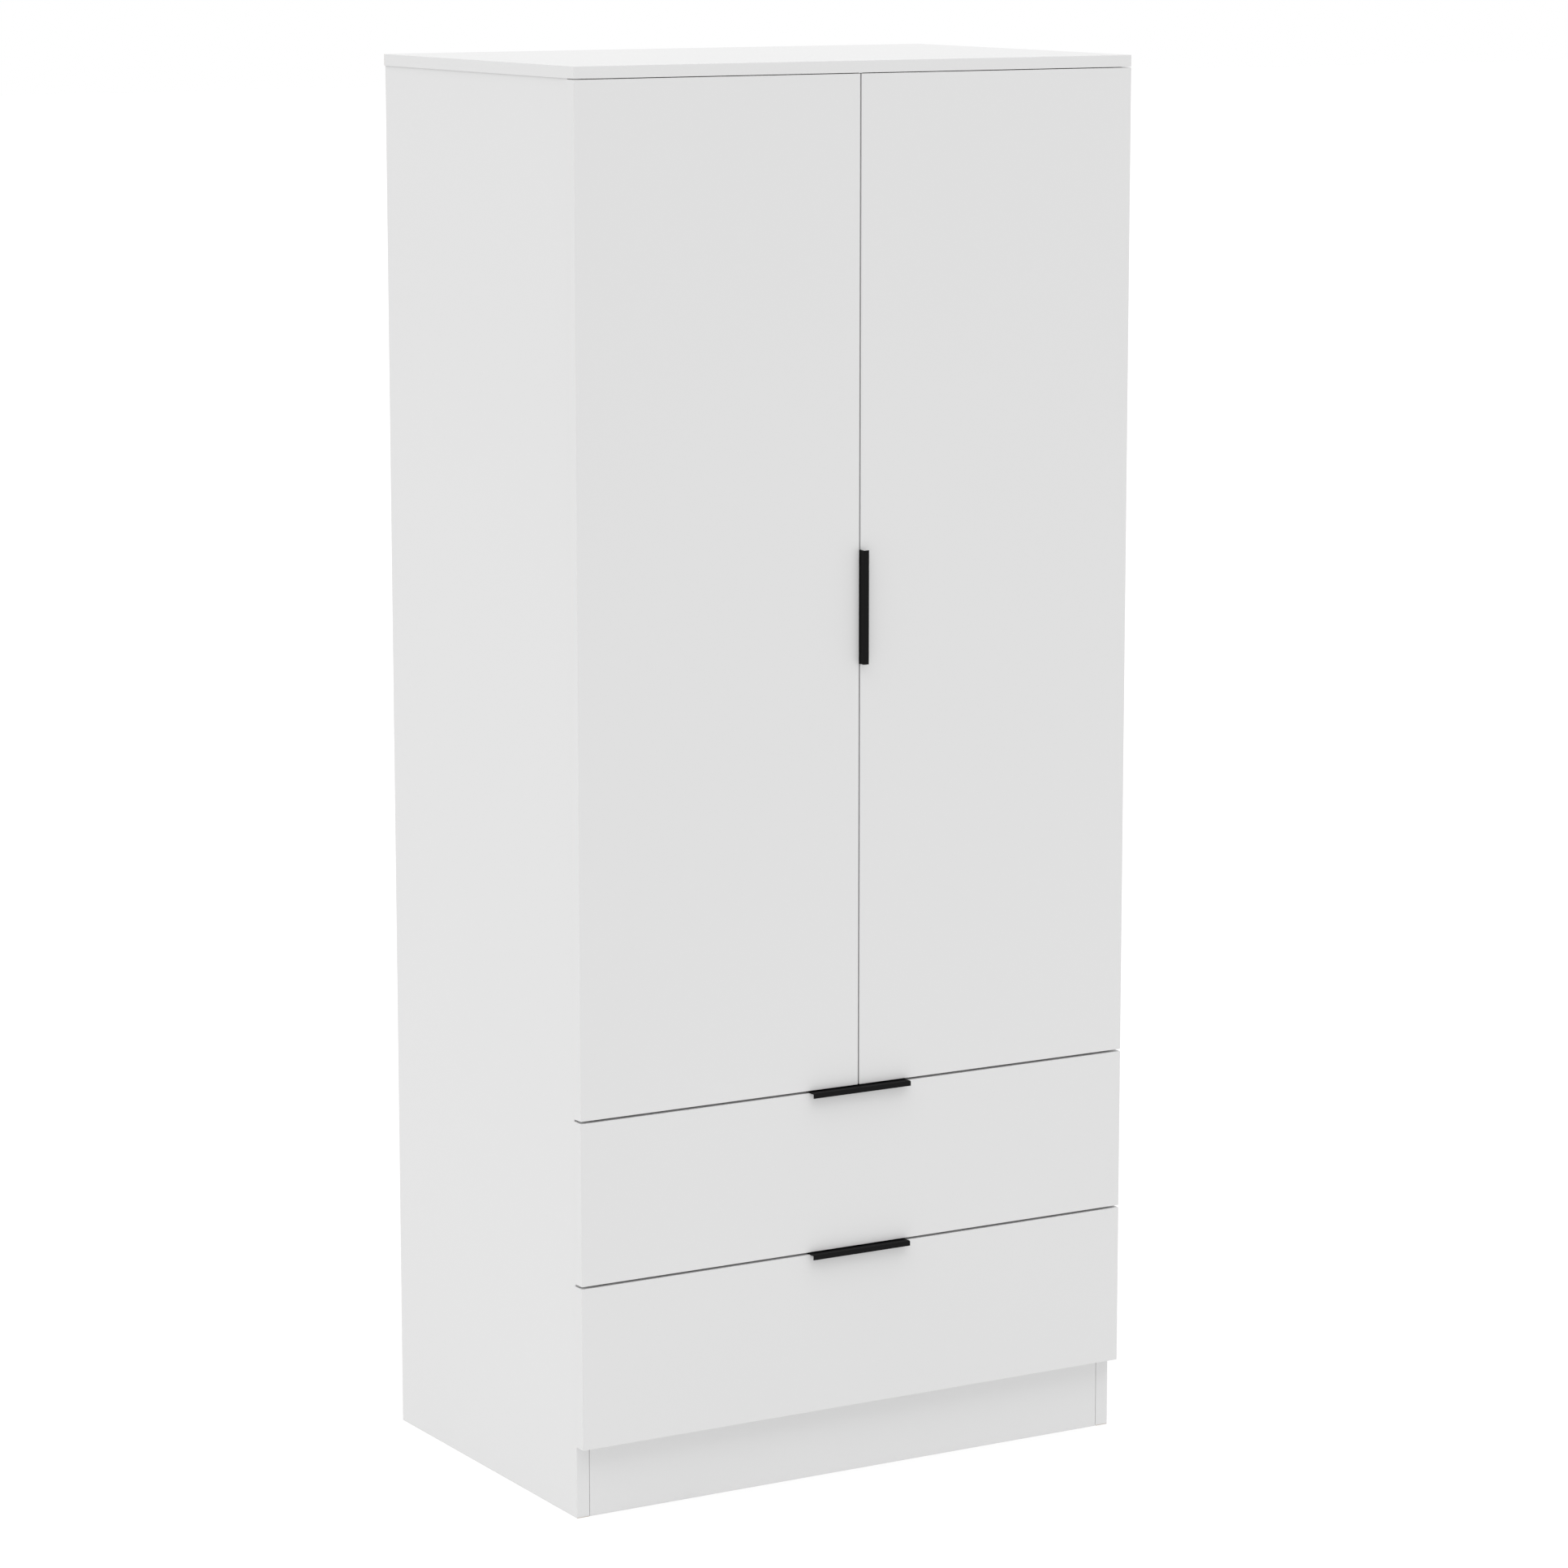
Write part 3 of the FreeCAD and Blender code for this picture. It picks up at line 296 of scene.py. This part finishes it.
def board_material(name, node, raw=()):
    """White melamine board: paper faces, glued edge banding, and chips inside its bores.

    raw lists the bare edges as (axis, end)."""
    low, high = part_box(node)
    size = high - low
    thin = min(AXES, key=lambda axis: size[axis])
    flat = [axis for axis in AXES if axis != thin]
    graph = Graph(name)
    across = wall_distance(graph, low, high, thin)
    rim = graph.math("MINIMUM", *(wall_distance(graph, low, high, axis) for axis in flat))
    # faint, even grain of satin melamine paper over a slow tone change
    pearl = graph.noise(PAPER_SCALE, detail=2.0, roughness=0.6)
    slow = graph.noise(CLOUD_SCALE, detail=2.0)
    face = graph.mix(graph.spread(slow, end=0.5), MELAMINE, MELAMINE_CLOUD)
    face = graph.mix(graph.spread(pearl, end=0.35, low=STRONG_LOW), face, MELAMINE_GRAIN)
    band_grain = graph.spread(graph.noise(BAND_SCALE, detail=2.0), end=0.5, low=STRONG_LOW)
    band = graph.mix(band_grain, MELAMINE_EDGE, EDGE_GRAIN)
    on_band = graph.ramp(rim, BANDING, BANDING + FEATHER, 1.0, 0.0)
    color = graph.mix(on_band, face, band)
    # the glue line between the paper and the banding
    off_line = graph.math("ABSOLUTE", graph.math("SUBTRACT", rim, GLUE_LINE))
    line = graph.ramp(off_line, GLUE_CORE, GLUE_FADE, 1.0, 0.0)
    color = graph.mix(graph.math("MULTIPLY", line, GLUE_SHARE), color, GLUE)
    # bare chips inside bores and on the unbanded edges
    inside = graph.ramp(graph.math("MINIMUM", across, rim), SKIN, SKIN + FEATHER)
    for axis, side in raw:
        gap = end_distance(graph, low, high, axis, side)
        bare = graph.math("MULTIPLY", graph.ramp(gap, BARE_EDGE - FEATHER, BARE_EDGE + FEATHER, 1.0, 0.0),
                          graph.ramp(across, SKIN, SKIN + FEATHER))
        inside = graph.math("MAXIMUM", inside, bare)
    color = graph.mix(inside, color, chip_color(graph))
    roughness = graph.math("ADD", graph.spread(pearl, *MELAMINE_ROUGHNESS),
                           graph.math("MULTIPLY", inside, CHIP_ROUGHENING), clamp=True)
    height = graph.math("SUBTRACT", pearl, graph.math("MULTIPLY", line, GLUE_GROOVE))
    normal = graph.bump(height, strength=0.16, distance=0.05 * MM)
    chip_height = graph.math("MULTIPLY", inside, graph.cells(FLAKE_SCALE))
    normal = graph.bump(chip_height, strength=0.6, distance=0.2 * MM, under=normal)
    return graph.finish(color, roughness, normal)


def drawer_board_material():
    """Foil-wrapped drawer board with a fine linen print."""
    graph = Graph("drawer_board")
    threads = [graph.stretched_noise(stretch, detail=1.0, roughness=0.5)
               for stretch in ((ACROSS_THREAD, ACROSS_THREAD, ALONG_THREAD),
                               (ALONG_THREAD, ALONG_THREAD, ACROSS_THREAD))]
    weave = graph.math("ADD", *threads)
    color = graph.mix(graph.ramp(weave, WEAVE_LOW, WEAVE_HIGH), LINEN, LINEN_SHADE)
    return graph.finish(color, graph.ramp(weave, WEAVE_LOW, WEAVE_HIGH, *LINEN_ROUGHNESS),
                        graph.bump(weave, strength=0.15, distance=0.05 * MM))


def hardboard_material(name, node, thin_axis, white_side):
    """Thin hardboard: lacquered on the face that shows inside, bare brown fibre elsewhere."""
    low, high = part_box(node)
    graph = Graph(name)
    depth = end_distance(graph, low, high, thin_axis, white_side)
    lacquered = graph.ramp(depth, LACQUER_DEPTH, 2 * LACQUER_DEPTH, 1.0, 0.0)
    fibre = graph.noise(FIBRE_SCALE, detail=6.0, roughness=0.7)
    fleck = graph.noise(FLECK_SCALE, detail=3.0, roughness=0.6)
    bare = graph.mix(graph.spread(fibre), FIBRE_DARK, FIBRE_LIGHT)
    bare = graph.mix(graph.spread(fleck, end=0.5, low=STRONGEST_LOW, high=STRONGER_HIGH), bare, FIBRE_FLECK)
    # the screen pattern pressed into hardboard's rough side
    wires = [graph.math("SINE", graph.math("MULTIPLY", graph.axes()[axis], 2 * math.pi / SCREEN_PITCH))
             for axis in AXES if axis != thin_axis]
    screen = graph.math("MULTIPLY", *wires)
    rough_height = graph.math("ADD", graph.math("MULTIPLY", screen, SCREEN_SHARE), fibre)
    paint = graph.mix(graph.spread(fleck, low=STRONGER_LOW), LACQUER, LACQUER_SHADE)
    color = graph.mix(lacquered, bare, paint)
    height = graph.math("MULTIPLY", rough_height, graph.math("SUBTRACT", 1.0, lacquered))
    paint_grain = graph.bump(fleck, strength=0.1, distance=0.05 * MM)
    normal = graph.bump(height, strength=0.35, distance=0.15 * MM, under=paint_grain)
    smoothing = graph.math("MULTIPLY", lacquered, LACQUER_SMOOTHING)
    roughness = graph.math("SUBTRACT", FIBRE_ROUGHNESS, smoothing)
    return graph.finish(color, roughness, normal)


# ---- other materials -----------------------------------------------------------------------
def powder_black_material():
    graph = Graph("powder_black")
    orange_peel = graph.noise(PEEL_SCALE, detail=3.0, roughness=0.55)
    speck_and_glint = graph.noise(SPECK_AND_GLINT_SCALE, detail=2.0)
    # painted glints: lighter specks in the black colour stand in for tiny highlights; the same noise also
    # gives real specks in the bump
    color = graph.mix(graph.spread(speck_and_glint, low=STRONGER_LOW, high=STRONGER_HIGH), POWDER_BLACK, POWDER_PAINTED_GLINT)
    height = graph.math("ADD", orange_peel, graph.math("MULTIPLY", speck_and_glint, SPECK_HEIGHT))
    normal = graph.bump(height, strength=0.3, distance=0.08 * MM)
    return graph.finish(color, graph.spread(orange_peel, *POWDER_ROUGHNESS), normal, specular=POWDER_SHINE)


def metal_material(name, color, roughness, stretch, mottling=0.25):
    """Metal with fine drawn or tumbled marks; stretch sets their direction and spacing."""
    graph = Graph(name)
    marks = graph.stretched_noise(stretch, detail=3.0, roughness=0.6)
    cloud = graph.noise(METAL_CLOUD_SCALE, detail=4.0, roughness=0.6)
    tone = graph.mix(graph.spread(marks, end=mottling), color, tinted(color, METAL_MARK_TINT))
    tone = graph.mix(graph.spread(cloud, end=mottling, low=STRONGER_LOW, high=STRONGER_HIGH),
                     tone, tinted(color, METAL_CLOUD_TINT))
    return graph.finish(tone, graph.spread(marks, roughness * METAL_SMOOTHEST, roughness * METAL_ROUGHEST),
                        graph.bump(marks, strength=0.2, distance=0.03 * MM), metallic=1.0)


def plastic_material(name, color, roughness):
    graph = Graph(name)
    grain = graph.noise(PLASTIC_SCALE, detail=3.0, roughness=0.5)
    tone = graph.mix(graph.spread(grain), color, tinted(color, PLASTIC_TINT))
    satin = graph.spread(grain, roughness * PLASTIC_SMOOTHEST, roughness * PLASTIC_ROUGHEST)
    return graph.finish(tone, satin, graph.bump(grain, strength=0.15, distance=0.05 * MM))


def beech_material():
    graph = Graph("beech")
    grain = graph.stretched_noise(BEECH_SCALE, detail=4.0, roughness=0.6)
    color = graph.mix(graph.spread(grain), BEECH_DARK, BEECH_LIGHT)
    return graph.finish(color, graph.spread(grain, *BEECH_ROUGHNESS),
                        graph.bump(grain, strength=0.3, distance=0.1 * MM))


# ---- giving every CAD node its material ----------------------------------------------------
def dress(node, material):
    piece = nodes[node]
    if not piece.material_slots:
        piece.data.materials.append(None)
    for slot in piece.material_slots:
        slot.link = "OBJECT"
        slot.material = material


LOW_END, HIGH_END = 0, 1
REAR = (Y_AXIS, HIGH_END)
FOOT = (Z_AXIS, LOW_END)
CROWN = (Z_AXIS, HIGH_END)
BOARDS = {
    "left_side_panel": (REAR, FOOT, CROWN), "right_side_panel": (REAR, FOOT, CROWN),
    "top_panel": (REAR,), "bottom_panel": (REAR,), "middle_panel": (REAR,), "hat_shelf": (REAR,),
    "front_plinth": (FOOT,), "rear_plinth": (FOOT, CROWN), "left_door": (), "right_door": (),
    "upper_drawer_front": (), "lower_drawer_front": (),
}
for board, raw_edges in BOARDS.items():
    dress(board, board_material(board + "_board", board, raw_edges))

linen = drawer_board_material()
black = powder_black_material()
nickel = metal_material("nickel", (0.72, 0.70, 0.66), roughness=0.26,
                        stretch=(300.0, 300.0, 2200.0), mottling=0.08)
zinc = metal_material("zinc_plate", (0.62, 0.64, 0.67), roughness=0.34, stretch=(1500.0, 25.0, 1500.0))
screw_zinc = metal_material("screw_zinc", (0.64, 0.65, 0.67), roughness=0.3,
                            stretch=(1500.0, 1500.0, 1500.0))
cast = metal_material("cast_zinc", (0.5, 0.51, 0.53), roughness=0.42,
                      stretch=(900.0, 900.0, 900.0), mottling=0.4)
tube = metal_material("chrome_tube", (0.78, 0.79, 0.81), roughness=0.12,
                      stretch=(12.0, 1800.0, 1800.0), mottling=0.08)
white_plastic = plastic_material("white_plastic", (0.8, 0.8, 0.8), roughness=0.45)
buffer = plastic_material("buffer", (0.75, 0.75, 0.74), roughness=0.3)
beech = beech_material()

for level in ("upper", "lower"):
    drawer = level + "_drawer_"
    for part in ("left_side", "right_side", "back"):
        dress(drawer + part, linen)
    sheet = hardboard_material(drawer + "bottom_sheet", drawer + "bottom", Z_AXIS, white_side=HIGH_END)
    dress(drawer + "bottom", sheet)
    dress(drawer + "handle", black)
    dress(drawer + "screws", screw_zinc)
    dress(drawer + "dowels", beech)
    for part in ("cabinet_slides", "middle_slides", "drawer_slides"):
        dress(drawer + part, zinc)
for hand in ("left", "right"):
    sheet = hardboard_material(hand + "_back_sheet", hand + "_back_panel", Y_AXIS, white_side=LOW_END)
    dress(hand + "_back_panel", sheet)
    dress(hand + "_rail_socket", cast)
    dress(hand + "_door_screws", screw_zinc)
    for part in ("plates", "arms", "cups", "inner_links", "outer_links"):
        dress(f"{hand}_hinge_{part}", nickel)
dress("door_handle", black)
dress("hanging_rail", tube)
dress("cam_bolts", screw_zinc)
dress("cam_locks", cast)
dress("wood_dowels", beech)
dress("carcass_screws", screw_zinc)
dress("hinge_arm_screws", screw_zinc)
dress("wall_brackets", zinc)
dress("door_buffers", buffer)
dress("back_joining_strip", white_plastic)


# ---- balls and cages between the drawer slides' members --------------------------------------
BALL_RADIUS = 1.6 * MM
BALL_PITCH = 11.0 * MM
CAGE_SHEET = 0.5 * MM
CAGE_WIDTH = 3.4 * MM
CAGE_END = 7.0 * MM
OUTER_ROW = (7.0 * MM, 19.65 * MM, 0.020, 0.205)        # from the side panel, lift, start, end
INNER_ROW = (8.3 * MM, 15.15 * MM, -0.205, -0.020)
BALL_FACE_CORNERS = 3


def ball_rows(level):
    """Rows that stay between the members through the whole travel: the outer ones on the middle
    member's rear half, the inner ones on its front half."""
    low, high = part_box(level + "_drawer_cabinet_slides")
    middle = (low.z + high.z) / 2
    mesh = bmesh.new()
    for side in (-1, 1):
        for inset, lift, start, end in (OUTER_ROW, INNER_ROW):
            for z in (middle - lift, middle + lift):
                x = side * (high.x - inset)
                count = int((end - start) / BALL_PITCH)
                for index in range(count + 1):
                    place = Matrix.Translation((x, start + index * BALL_PITCH, z))
                    bmesh.ops.create_icosphere(mesh, subdivisions=2, radius=BALL_RADIUS, matrix=place)
                last = start + count * BALL_PITCH
                size = Matrix.Diagonal((CAGE_WIDTH, last - start + 2 * CAGE_END, CAGE_SHEET, 1.0))
                bmesh.ops.create_cube(mesh, size=1.0,
                                      matrix=Matrix.Translation((x, (start + last) / 2, z)) @ size)
    data = bpy.data.meshes.new(level + "_slide_balls")
    mesh.to_mesh(data)
    mesh.free()
    for face in data.polygons:
        face.use_smooth = len(face.vertices) == BALL_FACE_CORNERS
    data.materials.append(screw_zinc)
    rows = bpy.data.objects.new(level + "_slide_balls", data)
    bpy.context.scene.collection.objects.link(rows)
    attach(rows, level + "_middle_slides")


ball_rows("upper")
ball_rows("lower")


# ---- floor, light and camera ---------------------------------------------------------------
def stage_floor():
    mesh = bpy.data.meshes.new("floor")
    corners = [(x * FLOOR_REACH, y * FLOOR_REACH, 0) for x, y in ((-1, -1), (1, -1), (1, 1), (-1, 1))]
    mesh.from_pydata(corners, [], [(0, 1, 2, 3)])
    floor = bpy.data.objects.new("floor", mesh)
    bpy.context.scene.collection.objects.link(floor)
    graph = Graph("pale_floor")
    tone = graph.mix(graph.spread(graph.noise(FLOOR_CLOUD_SCALE, detail=2.0)), FLOOR_TONE, FLOOR_SHADE)
    graph.put(graph.shader.inputs["Emission Color"], WHITE)
    graph.put(graph.shader.inputs["Emission Strength"], FLOOR_GLOW)
    mesh.materials.append(graph.finish(tone, FLOOR_ROUGHNESS, specular=FLOOR_SHINE))


def sky():
    """Even white light. The backdrop itself shows as plain white."""
    world = bpy.data.worlds.new("studio")
    world.use_nodes = True
    bpy.context.scene.world = world
    tree = world.node_tree
    backdrop = tree.nodes["Background"]
    backdrop.inputs["Color"].default_value = WHITE
    seen = tree.nodes.new("ShaderNodeLightPath")
    strength = tree.nodes.new("ShaderNodeMapRange")
    strength.inputs["To Min"].default_value = SKY_LIGHT
    strength.inputs["To Max"].default_value = 1.0
    tree.links.new(seen.outputs["Is Camera Ray"], strength.inputs["Value"])
    tree.links.new(strength.outputs["Result"], backdrop.inputs["Strength"])


def overhead_light():
    """One broad soft light, a little from the left."""
    data = bpy.data.lights.new("overhead", "SUN")
    data.energy = SUN_STRENGTH
    data.angle = math.radians(SUN_ANGLE)
    lamp = bpy.data.objects.new("overhead", data)
    lamp.rotation_euler = (-Vector(SUN_LEAN)).to_track_quat("-Z", "Y").to_euler()
    bpy.context.scene.collection.objects.link(lamp)


def camera():
    data = bpy.data.cameras.new("camera")
    data.lens = LENS
    data.sensor_width = SENSOR
    data.clip_end = CLIP_END
    eye = bpy.data.objects.new("camera", data)
    eye.location = CAMERA_PLACE
    eye.rotation_mode = "ZXY"
    eye.rotation_euler = (math.radians(LEVEL + CAMERA_PITCH), 0, math.radians(-CAMERA_YAW))
    eye.rotation_mode = "XYZ"
    bpy.context.scene.collection.objects.link(eye)
    bpy.context.scene.camera = eye


stage_floor()
sky()
overhead_light()
camera()
bpy.context.scene.view_settings.view_transform = "Standard"
